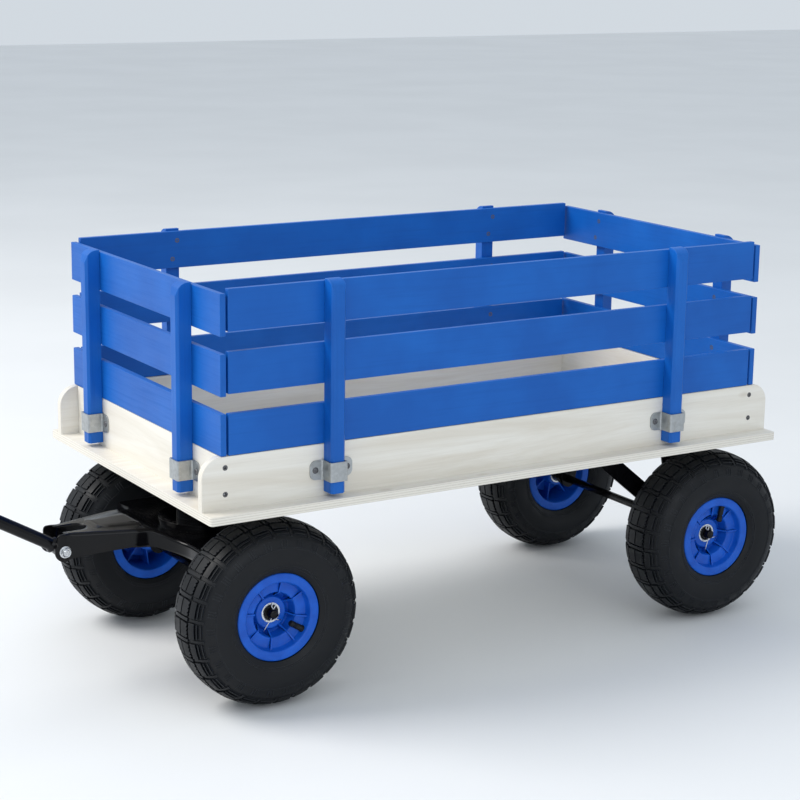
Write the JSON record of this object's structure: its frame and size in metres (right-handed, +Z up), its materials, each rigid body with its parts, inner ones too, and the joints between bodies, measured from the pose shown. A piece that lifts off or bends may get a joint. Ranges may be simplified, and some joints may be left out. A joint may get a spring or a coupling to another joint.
{
  "type": "pull wagon",
  "caption": "Garden-style pull wagon: plywood deck with low boards, lift-off blue slatted panels, air-filled knobbly wheels, steered front axle and hinged pull handle.",
  "frame": {"origin": "on the ground straight below the kingpin, midway between the front wheels", "axes": "+X forward towards the handle, +Y to the wagon's left, +Z up"},
  "size_m": [1.784, 0.54, 0.592],
  "materials": {
    "birch_ply": "clear satin lacquer",
    "blue_painted_wood": "satin paint over fine grain",
    "zinc_screw": "bright zinc plate",
    "zinc_strap": "dull zinc plate",
    "tyre_rubber": "matte moulded rubber",
    "rim_blue": "semi-gloss moulded plastic",
    "tube_rubber": "smooth black rubber",
    "bearing_steel": "ground steel with black seals",
    "black_steel": "gloss black powder coat",
    "grip_rubber": "soft matte foam rubber"
  },
  "bodies": {
    "wagon_bed": {"deck": "birch_ply", "side_board_left": "birch_ply", "side_board_right": "birch_ply", "end_board_front": "birch_ply", "end_board_rear": "birch_ply", "side_pockets": "zinc_strap", "end_pockets": "zinc_strap", "pocket_screws": "zinc_screw", "board_screws": "zinc_screw", "bracket_bolts": "zinc_screw", "front_bolster": "black_steel", "kingpin": "zinc_screw", "rear_axle_bracket": "black_steel", "rear_braces": "black_steel", "rear_axle": "black_steel", "rear_axle_ends": "zinc_screw"},
    "front_steering": {"front_axle_bracket": "black_steel", "front_axle": "black_steel", "front_axle_ends": "zinc_screw", "drawbar": "black_steel", "pivot_bolt": "zinc_screw"},
    "handle": {"handle_shaft": "black_steel", "handle_loop": "black_steel", "handle_grip": "grip_rubber"},
    "left_panel": {"left_slat_low": "blue_painted_wood", "left_slat_mid": "blue_painted_wood", "left_slat_top": "blue_painted_wood", "left_stakes": "blue_painted_wood", "left_slat_screws": "zinc_screw"},
    "right_panel": {"right_slat_low": "blue_painted_wood", "right_slat_mid": "blue_painted_wood", "right_slat_top": "blue_painted_wood", "right_stakes": "blue_painted_wood", "right_slat_screws": "zinc_screw"},
    "front_panel": {"front_slat_low": "blue_painted_wood", "front_slat_mid": "blue_painted_wood", "front_slat_top": "blue_painted_wood", "front_stakes": "blue_painted_wood", "front_slat_screws": "zinc_screw"},
    "rear_panel": {"rear_slat_low": "blue_painted_wood", "rear_slat_mid": "blue_painted_wood", "rear_slat_top": "blue_painted_wood", "rear_stakes": "blue_painted_wood", "rear_slat_screws": "zinc_screw"},
    "front_left_wheel": {"front_left_tyre": "tyre_rubber", "front_left_rim": "rim_blue", "front_left_tube": "tube_rubber", "front_left_bearings": "bearing_steel"},
    "front_right_wheel": {"front_right_tyre": "tyre_rubber", "front_right_rim": "rim_blue", "front_right_tube": "tube_rubber", "front_right_bearings": "bearing_steel"},
    "rear_left_wheel": {"rear_left_tyre": "tyre_rubber", "rear_left_rim": "rim_blue", "rear_left_tube": "tube_rubber", "rear_left_bearings": "bearing_steel"},
    "rear_right_wheel": {"rear_right_tyre": "tyre_rubber", "rear_right_rim": "rim_blue", "rear_right_tube": "tube_rubber", "rear_right_bearings": "bearing_steel"}
  },
  "joints": [
    {"name": "steering", "type": "hinge", "parent": "wagon_bed", "child": "front_steering", "pos_m": [0, 0, 0.209], "axis": [0, 0, 1], "range_deg": [-50, 50]},
    {"name": "handle_tilt", "type": "hinge", "parent": "front_steering", "child": "handle", "pos_m": [0.218, 0, 0.197], "axis": [0, -1, 0], "range_deg": [-43, 60]},
    {"name": "front_left_roll", "type": "hinge", "parent": "front_steering", "child": "front_left_wheel", "pos_m": [0, 0.205, 0.13], "axis": [0, 1, 0], "continuous": true},
    {"name": "front_right_roll", "type": "hinge", "parent": "front_steering", "child": "front_right_wheel", "pos_m": [0, -0.205, 0.13], "axis": [0, 1, 0], "continuous": true},
    {"name": "rear_left_roll", "type": "hinge", "parent": "wagon_bed", "child": "rear_left_wheel", "pos_m": [-0.762, 0.205, 0.13], "axis": [0, 1, 0], "continuous": true},
    {"name": "rear_right_roll", "type": "hinge", "parent": "wagon_bed", "child": "rear_right_wheel", "pos_m": [-0.762, -0.205, 0.13], "axis": [0, 1, 0], "continuous": true},
    {"name": "left_panel_lift", "type": "slide", "parent": "wagon_bed", "child": "left_panel", "axis": [0, 0, 1], "range_m": [0, 0.3]},
    {"name": "right_panel_lift", "type": "slide", "parent": "wagon_bed", "child": "right_panel", "axis": [0, 0, 1], "range_m": [0, 0.3]},
    {"name": "front_panel_lift", "type": "slide", "parent": "wagon_bed", "child": "front_panel", "axis": [0, 0, 1], "range_m": [0, 0.3]},
    {"name": "rear_panel_lift", "type": "slide", "parent": "wagon_bed", "child": "rear_panel", "axis": [0, 0, 1], "range_m": [0, 0.3]}
  ]
}
